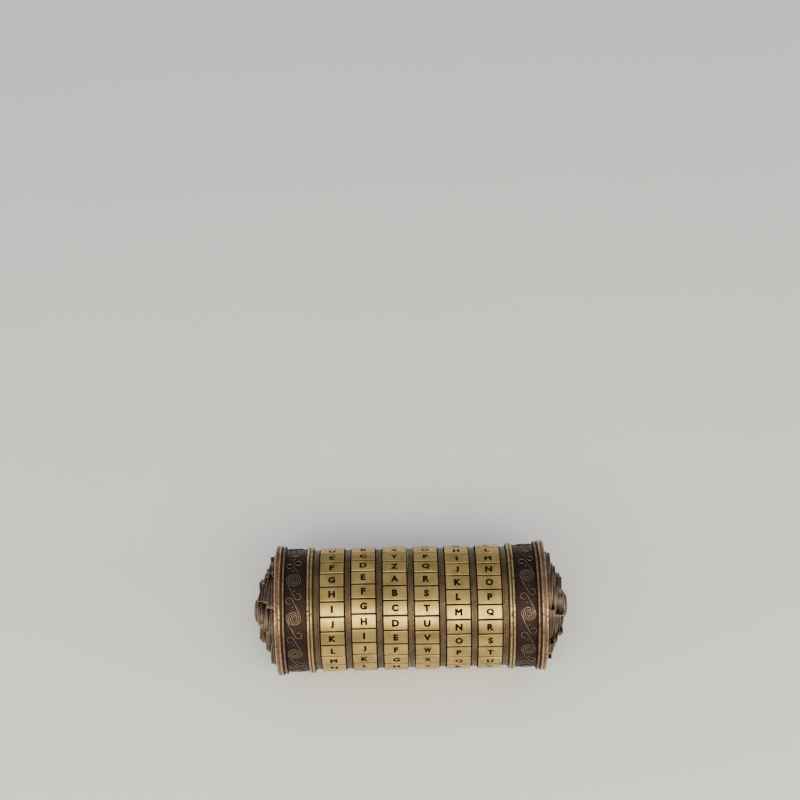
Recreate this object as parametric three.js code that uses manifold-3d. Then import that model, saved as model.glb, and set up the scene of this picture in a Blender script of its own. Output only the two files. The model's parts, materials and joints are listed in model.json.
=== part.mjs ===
// A cryptex: a cylinder lock with six letter dials, whose inner tube pulls out of the outer sleeve
// when the notch in every dial stands on the line of lugs along the tube.
// Millimetres. The axis is X, +X is the end that pulls out, +Z is up, and the origin is the centre.
import * as THREE from "three";
import { mergeVertices } from "three/addons/utils/BufferGeometryUtils.js";
import Module from "manifold-3d";

// ---- Clearances ----
const RUNNING_GAP = 0.3; // between round faces that slide or turn on each other
const FIT_GAP = 0.3; // between pieces that are fastened together
const SIDE_GAP = 0.15; // beside a turning dial
const SEAT_GAP = 0.1; // between end faces that seat on each other
const PARTING_GAP = 0.2; // between the two halves when they are closed

// ---- The stack of dials ----
const DIAL_COUNT = 6;
const LETTER_COUNT = 26;
const DIAL_WIDTH = 10.1;
const DIAL_WALL = 4.0; // from the spline roots to the face of the tiles
const SPLINE_DEPTH = 0.6;
const TILE_GROOVE_WIDTH = 0.7;
const TILE_GROOVE_DEPTH = 0.6;
const SPACER_WIDTH = 2.1;
const SPACER_RECESS = 0.8; // how far a spacer lies below the tiles
const CODE_RING_WIDTH = 5.0;
const NOTCH_ROOF = 0.6; // metal left in a code ring above its notch
const NOTCH_PLAY = THREE.MathUtils.degToRad(5); // how far a dial may stand off the line and still open

// ---- Tube, sleeve and lugs ----
const TUBE_BORE_RADIUS = 12.6;
const TUBE_WALL = 1.6;
const SLEEVE_WALL = 1.5;
const LUG_LENGTH = 2.8;
const LUG_WIDTH = 3.5;
const LUG_REACH = 3.2; // above the sleeve
const TENON_SIZE = 2.0;
const TENON_SINK = 0.8; // into the wall of the tube
const KEY_WIDTH = 2.4;
const KEY_SINK = 0.5; // into the wall of the sleeve

// ---- End caps and their trims ----
const BAND_SEAT = 3.0; // how far the bands are let into a cap, below the face of the tiles
const CAP_PLATE = 3.0;
const TRIM_BAND = { width: 2.5, rise: 0.6, groove: 0.5 }; // each rise is above the face of the tiles
const SCROLL_BAND = { width: 8.6, rise: 0.1 };
const RIM_BAND = { ridge: 0.9, valley: 0.6, crown: 2.45, rise: 1.5, drop: 0.9, hollow: 0.35 };
const BAND_GAP = 0.15;

// ---- Rosettes on the ends ----
const TIERS = [
  { name: "lower", inset: 4.1, step: 2.6, height: 2.8, turn: -36 },
  { name: "middle", inset: 8.9, step: 2.4, height: 1.9, turn: -28 },
  { name: "upper", inset: 13.1, step: 2.2, height: 2.6, turn: -22 },
]; // each inset is from the edge of the rim
const PETAL_COUNT = 9;
const PETAL_STEPS = 4; // straight pieces along the back of one petal
const BUTTON = { radius: 6.0, height: 2.5, flatRadius: 2.6, bevel: 1.0, spigotRadius: 4.2, spigot: 0.8 };
const CAP_SCREW = { radius: 1.5, headRadius: 2.9, head: 0.7, grip: 2.0 };
const GRUB_SCREW = { radius: 1.2, sink: 1.2, count: 3 };

// ---- Where the code stands when the lock is closed on its own word ----
const READING_ANGLE = 30; // degrees from +Z towards -Y
const DIAL_OFFSETS = [-1.5, -3.8, -1.6, -0.7, 3.4, 4.0]; // degrees each dial stands off the line
const ROUND_STEPS = 32;
const SMALL_STEPS = 16;
const SCREW_STEPS = 8;

// ---- Sizes that follow ----
const LETTER_PITCH = (2 * Math.PI) / LETTER_COUNT;
const tubeRadius = TUBE_BORE_RADIUS + TUBE_WALL;
const sleeveBoreRadius = tubeRadius + RUNNING_GAP;
const sleeveRadius = sleeveBoreRadius + SLEEVE_WALL;
const ringBoreRadius = sleeveRadius + RUNNING_GAP;
const lugTopRadius = sleeveRadius + LUG_REACH;
const notchTopRadius = lugTopRadius + RUNNING_GAP;
const codeRootRadius = notchTopRadius + NOTCH_ROOF;
const codeCrestRadius = codeRootRadius + SPLINE_DEPTH;
const dialBoreRadius = codeRootRadius + FIT_GAP;
const dialRootRadius = dialBoreRadius + SPLINE_DEPTH;
const tileRadius = dialRootRadius + DIAL_WALL;
const spacerRadius = tileRadius - SPACER_RECESS;
const slotWidth = LUG_WIDTH + 2 * RUNNING_GAP;

const dialPitch = DIAL_WIDTH + SPACER_WIDTH + 2 * SIDE_GAP;
const dialCentres = Array.from({ length: DIAL_COUNT }, (_, i) => (i - (DIAL_COUNT - 1) / 2) * dialPitch);
const stackEnd = (DIAL_COUNT * dialPitch + SPACER_WIDTH) / 2;
const lugRoom = DIAL_WIDTH - CODE_RING_WIDTH;

const drumStart = stackEnd + PARTING_GAP;
const bandBoreRadius = tileRadius - BAND_SEAT;
const drumRadius = bandBoreRadius - FIT_GAP;
const scrollStart = drumStart + TRIM_BAND.width + BAND_GAP;
const rimStart = scrollStart + SCROLL_BAND.width + BAND_GAP;
const rimWidth = RIM_BAND.ridge + RIM_BAND.valley + RIM_BAND.crown;
const capEnd = rimStart + rimWidth;
const plateStart = capEnd - CAP_PLATE;
const socketEnd = plateStart - FIT_GAP;
const grubCentre = (drumStart + plateStart) / 2;
const rimRadius = tileRadius + RIM_BAND.rise;

// ---- Shapes ----
const wasm = await Module();
wasm.setup();

// The point at a radius and an angle in a section across the axis; angle 0 is +Z, towards -Y is positive.
function around(radius, angle) {
  return new THREE.Vector2(-radius * Math.cos(angle), -radius * Math.sin(angle));
}

// A round piece about X from its half section, a list of [x, radius] points. The section of a ring
// closes on itself, and that of a full body starts and ends on the axis. Its sides, not its corners,
// stand on the radius, and one side faces straight up.
function turned(section, steps = ROUND_STEPS) {
  const [, firstRadius] = section[0];
  const profile = firstRadius > 0 ? [...section, section[0]] : section;
  const corner = 1 / Math.cos(Math.PI / steps);
  const points = profile.map(([x, radius]) => new THREE.Vector2(radius * corner, x));
  const geometry = new THREE.LatheGeometry(points, steps);
  geometry.rotateY(Math.PI / steps);
  geometry.rotateZ(-Math.PI / 2);
  return geometry;
}

// A plate from x = start to x = end with the outline of a section across the axis, and holes through it.
function plate(outline, holes, start, end) {
  const shape = new THREE.Shape(outline);
  shape.holes = holes.map((points) => new THREE.Path(points));
  const geometry = new THREE.ExtrudeGeometry(shape, { depth: end - start, bevelEnabled: false });
  geometry.rotateY(Math.PI / 2);
  geometry.translate(start, 0, 0);
  return geometry;
}

// A circle of straight pieces whose sides, not its corners, stand on the radius.
function circle(radius, steps = ROUND_STEPS) {
  const corner = radius / Math.cos(Math.PI / steps);
  return Array.from({ length: steps }, (_, i) => around(corner, ((i + 0.5) * 2 * Math.PI) / steps));
}

// A block from its lowest corner to its highest.
function block(low, high) {
  const geometry = new THREE.BoxGeometry(high[0] - low[0], high[1] - low[1], high[2] - low[2]);
  geometry.translate((low[0] + high[0]) / 2, (low[1] + high[1]) / 2, (low[2] + high[2]) / 2);
  return geometry;
}

// A round pin along +Z from one height to another, turned about X to an angle.
function radialPin(radius, x, low, high, angle) {
  const geometry = new THREE.CylinderGeometry(radius, radius, high - low, SCREW_STEPS);
  geometry.rotateX(Math.PI / 2);
  geometry.translate(x, 0, (low + high) / 2);
  geometry.rotateX(angle);
  return geometry;
}

function solid(geometry) {
  const bare = new THREE.BufferGeometry().setAttribute("position", geometry.getAttribute("position"));
  bare.setIndex(geometry.index);
  const merged = mergeVertices(bare, 1e-4);
  const vertProperties = new Float32Array(merged.attributes.position.array);
  return new wasm.Manifold(new wasm.Mesh({ numProp: 3, vertProperties, triVerts: merged.index.array }));
}

function fromSolid(made) {
  const mesh = made.getMesh();
  const geometry = new THREE.BufferGeometry();
  geometry.setAttribute("position", new THREE.BufferAttribute(mesh.vertProperties, 3));
  geometry.setIndex(new THREE.BufferAttribute(mesh.triVerts, 1));
  geometry.computeVertexNormals();
  return geometry;
}

function cut(geometry, ...tools) {
  return fromSolid(tools.reduce((left, tool) => left.subtract(solid(tool)), solid(geometry)));
}

function join(...geometries) {
  return fromSolid(geometries.map(solid).reduce((whole, piece) => whole.add(piece)));
}

// ---- Finishes ----
const FINISHES = {
  tileBrass: { color: 0xc4ae78, roughness: 0.34, metalness: 1 },
  spacerBronze: { color: 0x6b5a4e, roughness: 0.5, metalness: 1 },
  trimBrass: { color: 0xbfa872, roughness: 0.32, metalness: 1 },
  scrollBronze: { color: 0x5a4a48, roughness: 0.5, metalness: 1 },
  roseGold: { color: 0xcf9f7c, roughness: 0.28, metalness: 1 },
  darkBronze: { color: 0x4a3d3a, roughness: 0.5, metalness: 1 },
  tubeBrass: { color: 0xb59a5f, roughness: 0.4, metalness: 1 },
  steel: { color: 0x8c8c8a, roughness: 0.4, metalness: 1 },
};

function piece(name, geometry, finish) {
  const mesh = new THREE.Mesh(geometry, new THREE.MeshStandardMaterial(FINISHES[finish]));
  mesh.name = name;
  return mesh;
}

function turnedGroup(degrees, ...pieces) {
  const group = new THREE.Group();
  group.rotation.x = THREE.MathUtils.degToRad(degrees);
  group.add(...pieces);
  return group;
}

// ---- Sleeve and tube ----
function outerSleeve() {
  const tube = plate(circle(sleeveRadius), [circle(sleeveBoreRadius)], -socketEnd, stackEnd);
  const pastEnd = stackEnd + FIT_GAP;
  const slot = block([SPACER_WIDTH - stackEnd, -slotWidth / 2, 0], [pastEnd, slotWidth / 2, tileRadius]);
  const grooveHalf = KEY_WIDTH / 2 + FIT_GAP;
  const grooveFloor = sleeveRadius - KEY_SINK - FIT_GAP;
  const groove = block([-pastEnd, -grooveHalf, -tileRadius], [pastEnd, grooveHalf, -grooveFloor]);
  return piece("outer_sleeve", cut(tube, slot, groove, ...grubHoles(-1)), "tubeBrass");
}

function innerTube() {
  const tube = plate(circle(tubeRadius), [circle(TUBE_BORE_RADIUS)], -socketEnd + FIT_GAP, socketEnd);
  const half = TENON_SIZE / 2 + FIT_GAP;
  const floor = tubeRadius - TENON_SINK - FIT_GAP;
  const pockets = dialCentres.map((centre) => {
    const x = lugCentre(centre);
    return block([x - half, -half, floor], [x + half, half, tileRadius]);
  });
  return piece("inner_tube", cut(tube, ...pockets, ...grubHoles(1)), "tubeBrass");
}

// The middle of the free groove beside a code ring, where the lug stands while the lock is closed.
function lugCentre(dialCentre) {
  return dialCentre - DIAL_WIDTH / 2 + lugRoom / 2;
}

function keyLug(number, dialCentre) {
  const x = lugCentre(dialCentre);
  const foot = tubeRadius + FIT_GAP;
  const half = TENON_SIZE / 2;
  const halfLength = LUG_LENGTH / 2;
  const halfWidth = LUG_WIDTH / 2;
  const body = block([x - halfLength, -halfWidth, foot], [x + halfLength, halfWidth, lugTopRadius]);
  const tenon = block([x - half, -half, tubeRadius - TENON_SINK], [x + half, half, foot + TENON_SINK]);
  return piece(`key_lug_${number}`, join(body, tenon), "steel");
}

// ---- Dials ----
// The outline of the tiles: each has a flat face and half of a narrow groove on each side.
function tileOutline() {
  const grooveHalf = TILE_GROOVE_WIDTH / 2 / tileRadius;
  return Array.from({ length: LETTER_COUNT }, (_, i) => {
    const start = (i - 0.5) * LETTER_PITCH;
    const floor = around(tileRadius - TILE_GROOVE_DEPTH, start);
    const end = start + LETTER_PITCH;
    return [floor, around(tileRadius, start + grooveHalf), around(tileRadius, end - grooveHalf)];
  }).flat();
}

// Shallow splines, one for each letter, with a crest at every tile's middle.
function splineOutline(rootRadius, crestRadius) {
  return Array.from({ length: LETTER_COUNT }, (_, i) => {
    return [around(crestRadius, i * LETTER_PITCH), around(rootRadius, (i + 0.5) * LETTER_PITCH)];
  }).flat();
}

function letterRing(number, centre) {
  const bore = splineOutline(dialBoreRadius, dialRootRadius);
  const ring = plate(tileOutline(), [bore], centre - DIAL_WIDTH / 2, centre + DIAL_WIDTH / 2);
  return piece(`letter_ring_${number}`, ring, "tileBrass");
}

// The bore of a notched ring is open into its notch, so the bore and the notch are one outline.
function notchedBore(halfAngle) {
  const step = (2 * Math.PI) / ROUND_STEPS;
  const bore = circle(ringBoreRadius).filter((_, i) => {
    const angle = (i + 0.5) * step;
    return Math.min(angle, 2 * Math.PI - angle) > halfAngle + step / 4;
  });
  const corner = ringBoreRadius / Math.cos(Math.PI / ROUND_STEPS);
  return [
    around(corner, -halfAngle),
    around(notchTopRadius, -halfAngle),
    around(notchTopRadius / Math.cos(halfAngle), 0),
    around(notchTopRadius, halfAngle),
    around(corner, halfAngle),
    ...bore,
  ];
}

function codeRing(number, centre) {
  const notchHalf = Math.asin((LUG_WIDTH / 2 + RUNNING_GAP) / ringBoreRadius) + NOTCH_PLAY;
  const start = centre - DIAL_WIDTH / 2 + lugRoom;
  const outline = splineOutline(codeRootRadius, codeCrestRadius);
  const ring = plate(outline, [notchedBore(notchHalf)], start, start + CODE_RING_WIDTH);
  return piece(`code_ring_${number}`, ring, "steel");
}

// A plain ring beside a dial, notched for the lugs and keyed into the sleeve's groove.
function spacer(name, start) {
  const end = start + SPACER_WIDTH;
  const notchHalf = Math.asin(slotWidth / 2 / ringBoreRadius);
  const ring = plate(circle(spacerRadius), [notchedBore(notchHalf)], start, end);
  const keyFoot = sleeveRadius - KEY_SINK;
  const keyTop = ringBoreRadius + KEY_SINK;
  const key = block([start, -KEY_WIDTH / 2, -keyTop], [end, KEY_WIDTH / 2, -keyFoot]);
  return piece(name, join(ring, key), "spacerBronze");
}

// ---- End caps ----
// Holes for the grub screws of one half; side is -1 for the sleeve's half and 1 for the tube's.
function grubHoles(side) {
  const radius = GRUB_SCREW.radius + FIT_GAP;
  return grubAngles().map((angle) => {
    return radialPin(radius, side * grubCentre, TUBE_BORE_RADIUS / 2, bandBoreRadius, angle);
  });
}

function grubAngles() {
  return Array.from({ length: GRUB_SCREW.count }, (_, i) => ((i + 0.5) * 2 * Math.PI) / GRUB_SCREW.count);
}

function grubScrews(prefix, heldRadius) {
  const tip = heldRadius - GRUB_SCREW.sink;
  return grubAngles().map((angle, i) => {
    const pin = radialPin(GRUB_SCREW.radius, grubCentre, tip, drumRadius - SEAT_GAP, angle);
    return piece(`${prefix}_${i + 1}`, pin, "steel");
  });
}

// A cup on the outer end that holds the sleeve or the tube in its bore.
function endCap(heldRadius) {
  const bore = heldRadius + FIT_GAP;
  const hole = CAP_SCREW.radius + FIT_GAP;
  const cup = turned([
    [drumStart, bore],
    [drumStart, drumRadius],
    [capEnd, drumRadius],
    [capEnd, hole],
    [plateStart, hole],
    [plateStart, bore],
  ]);
  return cut(cup, ...grubHoles(1));
}

function innerTrim() {
  const middle = drumStart + TRIM_BAND.width / 2;
  const end = drumStart + TRIM_BAND.width;
  const top = tileRadius + TRIM_BAND.rise;
  return turned([
    [drumStart, bandBoreRadius],
    [drumStart, top],
    [middle - TRIM_BAND.groove / 2, top],
    [middle, top - TRIM_BAND.groove],
    [middle + TRIM_BAND.groove / 2, top],
    [end, top],
    [end, bandBoreRadius],
  ]);
}

function scrollBand() {
  const end = scrollStart + SCROLL_BAND.width;
  const top = tileRadius + SCROLL_BAND.rise;
  return turned([
    [scrollStart, bandBoreRadius],
    [scrollStart, top],
    [end, top],
    [end, bandBoreRadius],
  ]);
}

// A thin ridge, a valley and a crown whose two edges stand a little higher than its middle.
function rimTrim() {
  const ridgeTop = rimRadius - RIM_BAND.drop / 2;
  const crownStart = rimStart + RIM_BAND.ridge + RIM_BAND.valley;
  const crownThird = RIM_BAND.crown / 3;
  return turned([
    [rimStart, bandBoreRadius],
    [rimStart, ridgeTop],
    [rimStart + RIM_BAND.ridge, ridgeTop],
    [rimStart + RIM_BAND.ridge, rimRadius - RIM_BAND.drop],
    [crownStart, rimRadius - RIM_BAND.drop],
    [crownStart, rimRadius],
    [crownStart + crownThird, rimRadius],
    [crownStart + RIM_BAND.crown / 2, rimRadius - RIM_BAND.hollow],
    [capEnd - crownThird, rimRadius],
    [capEnd, rimRadius],
    [capEnd, bandBoreRadius],
  ]);
}

// ---- Rosettes ----
// Each petal's back falls from the full radius by the step, and the next petal starts at full radius again.
function petalOutline(tier) {
  const pitch = (2 * Math.PI) / PETAL_COUNT;
  return Array.from({ length: PETAL_COUNT }, (_, i) => {
    return Array.from({ length: PETAL_STEPS + 1 }, (_, k) => {
      const share = k / PETAL_STEPS;
      return around(rimRadius - tier.inset - tier.step * share ** 2, (i + share) * pitch);
    });
  }).flat();
}

function rosette(sideName) {
  let start = capEnd + SEAT_GAP;
  return TIERS.map((tier, i) => {
    const end = start + tier.height - SEAT_GAP;
    const hole = circle(CAP_SCREW.radius + FIT_GAP, SMALL_STEPS);
    let geometry = plate(petalOutline(tier), [hole], start, end);
    if (i === TIERS.length - 1) {
      geometry = cut(geometry, ...buttonSeat(end));
    }
    start = end + SEAT_GAP;
    return turnedGroup(tier.turn, piece(`${sideName}_rosette_${tier.name}`, geometry, "darkBronze"));
  });
}

// The places of the button's spigot and the screw's head under it, sunk from the face of the top tier.
function buttonSeat(face) {
  const seatDepth = BUTTON.spigot + SEAT_GAP;
  const headDepth = seatDepth + CAP_SCREW.head + SEAT_GAP;
  const past = face + BUTTON.height;
  const seat = plate(circle(BUTTON.spigotRadius + FIT_GAP, SMALL_STEPS), [], face - seatDepth, past);
  const well = plate(circle(CAP_SCREW.headRadius + FIT_GAP, SMALL_STEPS), [], face - headDepth, past);
  return [seat, well];
}

const rosetteHeight = TIERS.reduce((total, tier) => total + tier.height, 0);
const rosetteEnd = capEnd + rosetteHeight;
const endFace = rosetteEnd + BUTTON.height;

function button() {
  const base = rosetteEnd + SEAT_GAP;
  const foot = rosetteEnd - BUTTON.spigot;
  const section = [
    [foot, 0],
    [foot, BUTTON.spigotRadius],
    [base, BUTTON.spigotRadius],
    [base, BUTTON.radius],
    [endFace - BUTTON.bevel, BUTTON.radius - BUTTON.bevel],
    [endFace, BUTTON.flatRadius],
    [endFace, 0],
  ];
  return turned(section, SMALL_STEPS);
}

function capScrew() {
  const headTop = rosetteEnd - BUTTON.spigot - SEAT_GAP;
  const headBase = headTop - CAP_SCREW.head;
  const tip = capEnd - CAP_SCREW.grip;
  const section = [
    [tip, 0],
    [tip, CAP_SCREW.radius],
    [headBase, CAP_SCREW.radius],
    [headBase, CAP_SCREW.headRadius],
    [headTop, CAP_SCREW.headRadius],
    [headTop, 0],
  ];
  return turned(section, SCREW_STEPS);
}

// ---- The assembly ----
// One end as it stands at +X. The rim isn't in it, because its flats face straight down.
function endOf(sideName, heldRadius, screwPrefix) {
  const group = new THREE.Group();
  group.add(
    piece(`${sideName}_end_cap`, endCap(heldRadius), "darkBronze"),
    piece(`${sideName}_inner_trim`, innerTrim(), "trimBrass"),
    piece(`${sideName}_scroll_band`, scrollBand(), "scrollBronze"),
    piece(`${sideName}_end_button`, button(), "darkBronze"),
    piece(`${sideName}_cap_screw`, capScrew(), "steel"),
    ...rosette(sideName),
    ...grubScrews(screwPrefix, heldRadius),
  );
  return group;
}

const leftEnd = endOf("left", sleeveRadius, "sleeve_screw");
const rightEnd = endOf("right", tubeRadius, "tube_screw");
const leftRim = piece("left_rim_trim", rimTrim(), "roseGold");
const rightRim = piece("right_rim_trim", rimTrim(), "roseGold");
leftEnd.rotation.z = Math.PI;
leftRim.rotation.z = Math.PI;

// Everything that stands on the line of lugs.
const lugLine = turnedGroup(READING_ANGLE, outerSleeve(), innerTube(), leftEnd, rightEnd);
dialCentres.forEach((centre, i) => {
  lugLine.add(keyLug(i + 1, centre));
  lugLine.add(spacer(`spacer_ring_${i + 1}`, centre - dialPitch / 2 - SPACER_WIDTH / 2));
});
lugLine.add(spacer("retaining_nut", stackEnd - SPACER_WIDTH));

const dials = dialCentres.map((centre, i) => {
  const turn = READING_ANGLE + DIAL_OFFSETS[i];
  return turnedGroup(turn, letterRing(i + 1, centre), codeRing(i + 1, centre));
});

const cryptex = new THREE.Group();
cryptex.add(lugLine, leftRim, rightRim, ...dials);

export default cryptex;
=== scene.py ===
"""A six-dial cryptex in aged brass and bronze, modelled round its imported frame.

Sizes are in millimetres until a piece is finished, when its mesh is scaled to metres. The axis is X,
and an angle round it is measured from +Z towards -Y, so it grows downwards as the reader sees it.
"""

import json
import logging
import math
from dataclasses import dataclass, field
from enum import Enum
from typing import Any, Sequence

import bmesh
import bpy
from mathutils import Matrix, Vector


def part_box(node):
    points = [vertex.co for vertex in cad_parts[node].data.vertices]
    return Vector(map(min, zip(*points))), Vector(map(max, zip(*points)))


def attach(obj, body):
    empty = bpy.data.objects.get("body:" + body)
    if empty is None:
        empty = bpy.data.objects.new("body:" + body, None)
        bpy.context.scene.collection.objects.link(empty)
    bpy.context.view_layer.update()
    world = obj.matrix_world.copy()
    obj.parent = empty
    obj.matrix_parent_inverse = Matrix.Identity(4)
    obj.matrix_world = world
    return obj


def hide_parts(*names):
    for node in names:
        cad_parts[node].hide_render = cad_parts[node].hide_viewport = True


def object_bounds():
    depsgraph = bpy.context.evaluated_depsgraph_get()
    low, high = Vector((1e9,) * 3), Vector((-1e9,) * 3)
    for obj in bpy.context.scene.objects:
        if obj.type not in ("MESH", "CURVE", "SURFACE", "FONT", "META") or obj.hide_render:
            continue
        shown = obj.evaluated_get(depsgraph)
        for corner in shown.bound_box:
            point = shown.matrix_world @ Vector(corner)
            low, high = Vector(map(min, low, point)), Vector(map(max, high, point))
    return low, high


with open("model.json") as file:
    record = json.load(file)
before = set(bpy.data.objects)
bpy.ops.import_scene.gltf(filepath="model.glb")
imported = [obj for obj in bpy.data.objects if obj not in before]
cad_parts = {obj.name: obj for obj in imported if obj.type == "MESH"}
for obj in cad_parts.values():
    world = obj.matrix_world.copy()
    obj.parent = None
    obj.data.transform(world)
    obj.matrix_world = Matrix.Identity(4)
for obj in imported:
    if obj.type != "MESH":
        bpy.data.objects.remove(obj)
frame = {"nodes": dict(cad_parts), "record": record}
CAD_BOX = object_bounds()

LOG = logging.getLogger("cryptex")
MM = 0.001
TAU = 2 * math.pi
LETTERS = "ABCDEFGHIJKLMNOPQRSTUVWXYZ"
LETTER_PITCH = TAU / len(LETTERS)
READING_ANGLE = math.radians(30)
DIAL_COUNT = 6
ROUND_STEPS = 128  # how many faces a round piece has
WELD = 0.0001  # corners nearer than this become one
OVERLAP = 0.01  # how deep two joined shapes reach into each other

Section = Sequence[tuple[float, float]]
Colour = tuple[float, float, float]


# ---- Shader maths ----


class Grain(Enum):
    """Which way the fine marks of a metal run."""

    AROUND = (9.0, 0.35, 0.35)
    CAST = (2.2, 2.2, 2.2)


class Num:
    """A number socket that takes part in Python expressions."""

    def __init__(self, graph: "Graph", socket: bpy.types.NodeSocket) -> None:
        """Keeps the socket and the graph that it stands in."""
        self.graph = graph
        self.socket = socket

    def _math(self, operation: str, *values: Any) -> "Num":
        """Adds one Math node and gives its result."""
        made = self.graph.node("ShaderNodeMath", {"operation": operation}, dict(enumerate(values)))
        return Num(self.graph, made.outputs[0])

    def __add__(self, other: Any) -> "Num":
        """self + other."""
        return self._math("ADD", self, other)

    __radd__ = __add__

    def __sub__(self, other: Any) -> "Num":
        """self - other."""
        return self._math("SUBTRACT", self, other)

    def __rsub__(self, other: Any) -> "Num":
        """other - self."""
        return self._math("SUBTRACT", other, self)

    def __mul__(self, other: Any) -> "Num":
        """self * other."""
        return self._math("MULTIPLY", self, other)

    __rmul__ = __mul__

    def __pow__(self, other: Any) -> "Num":
        """self ** other."""
        return self._math("POWER", self, other)

    def least(self, other: Any) -> "Num":
        """The smaller of two values."""
        return self._math("MINIMUM", self, other)

    def most(self, other: Any) -> "Num":
        """The larger of two values."""
        return self._math("MAXIMUM", self, other)

    def between(self, low: float, high: float) -> "Num":
        """A smooth climb from 0 at low to 1 at high."""
        settings = {"interpolation_type": "SMOOTHSTEP"}
        inputs = {"Value": self, "From Min": low, "From Max": high}
        return Num(self.graph, self.graph.node("ShaderNodeMapRange", settings, inputs).outputs[0])

    def clipped(self) -> "Num":
        """The value held between 0 and 1."""
        return self.most(0.0).least(1.0)


class Graph:
    """The node tree of one material."""

    def __init__(self, name: str) -> None:
        """Starts an empty material with its shader and its coordinates.

        Args:
            name: The material's name.
        """
        self.material = bpy.data.materials.new(name)
        self.material.use_nodes = True
        self.tree = self.material.node_tree
        self.tree.nodes.clear()
        self.shader = self.node("ShaderNodeBsdfPrincipled")
        output = self.node("ShaderNodeOutputMaterial")
        self.tree.links.new(self.shader.outputs[0], output.inputs["Surface"])
        coordinates = self.node("ShaderNodeTexCoord").outputs["Object"]
        scale = {"operation": "SCALE"}
        self.place = self.node("ShaderNodeVectorMath", scale, {0: coordinates, "Scale": 1 / MM}).outputs[0]
        split = self.node("ShaderNodeSeparateXYZ", {}, {0: self.place})
        y, z = Num(self, split.outputs["Y"]), Num(self, split.outputs["Z"])
        self.radius = (y * y + z * z) ** 0.5

    def node(self, kind: str, settings: dict | None = None, inputs: dict | None = None) -> bpy.types.Node:
        """Makes a node, with its settings first and then its sockets.

        Args:
            kind: The node's type.
            settings: Values of the node itself.
            inputs: A value, a socket or a Num for each socket, by name or number.

        Returns:
            The node.
        """
        made = self.tree.nodes.new(kind)
        for key, value in (settings or {}).items():
            setattr(made, key, value)
        for key, value in (inputs or {}).items():
            self._feed(made.inputs[key], value)
        return made

    def _feed(self, socket: bpy.types.NodeSocket, value: Any) -> None:
        """Gives a socket a plain value, or a link from a socket or a Num.

        Args:
            socket: The socket that is fed.
            value: What it is fed with.
        """
        if isinstance(value, Num):
            value = value.socket
        if isinstance(value, bpy.types.NodeSocket):
            self.tree.links.new(value, socket)
        else:
            socket.default_value = value

    def noise(self, scale: float, stretch: Sequence[float] = (1, 1, 1), detail: float = 4.0) -> Num:
        """Soft noise in the piece's own coordinates.

        Args:
            scale: How many waves there are in a millimetre.
            stretch: How much finer the noise is along each axis.
            detail: How many octaves it has.

        Returns:
            The noise, about 0 to 1.
        """
        multiply = {"operation": "MULTIPLY"}
        place = self.node("ShaderNodeVectorMath", multiply, {0: self.place, 1: stretch}).outputs[0]
        inputs = {"Vector": place, "Scale": scale, "Detail": detail, "Roughness": 0.6}
        return Num(self, self.node("ShaderNodeTexNoise", {}, inputs).outputs["Fac"])

    def mix(self, share: Any, low: Any, high: Any) -> bpy.types.NodeSocket:
        """Mixes two colours.

        Args:
            share: 0 for the first colour, 1 for the second.
            low: The first colour, or a socket.
            high: The second colour, or a socket.

        Returns:
            The mixed colour.
        """
        low, high = ((*c, 1.0) if isinstance(c, tuple) else c for c in (low, high))
        settings = {"data_type": "RGBA", "blend_type": "MIX"}
        made = self.node("ShaderNodeMix", settings, {0: share, 6: low, 7: high})
        return made.outputs[2]

    def bump(self, height: Num, distance: float) -> bpy.types.NodeSocket:
        """A normal from a height.

        Args:
            height: The height, 0 to 1.
            distance: What a height of 1 stands for, in millimetres.

        Returns:
            The normal.
        """
        inputs = {"Height": height, "Distance": distance * MM, "Strength": 1.0}
        return self.node("ShaderNodeBump", {}, inputs).outputs["Normal"]

    def finish(self, **inputs: Any) -> bpy.types.Material:
        """Sets the shader's sockets, with underscores for the spaces in their names.

        Args:
            **inputs: A value or a link for each socket.

        Returns:
            The material.
        """
        for key, value in inputs.items():
            self._feed(self.shader.inputs[key.replace("_", " ")], value)
        return self.material


# ---- Finishes ----


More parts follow.
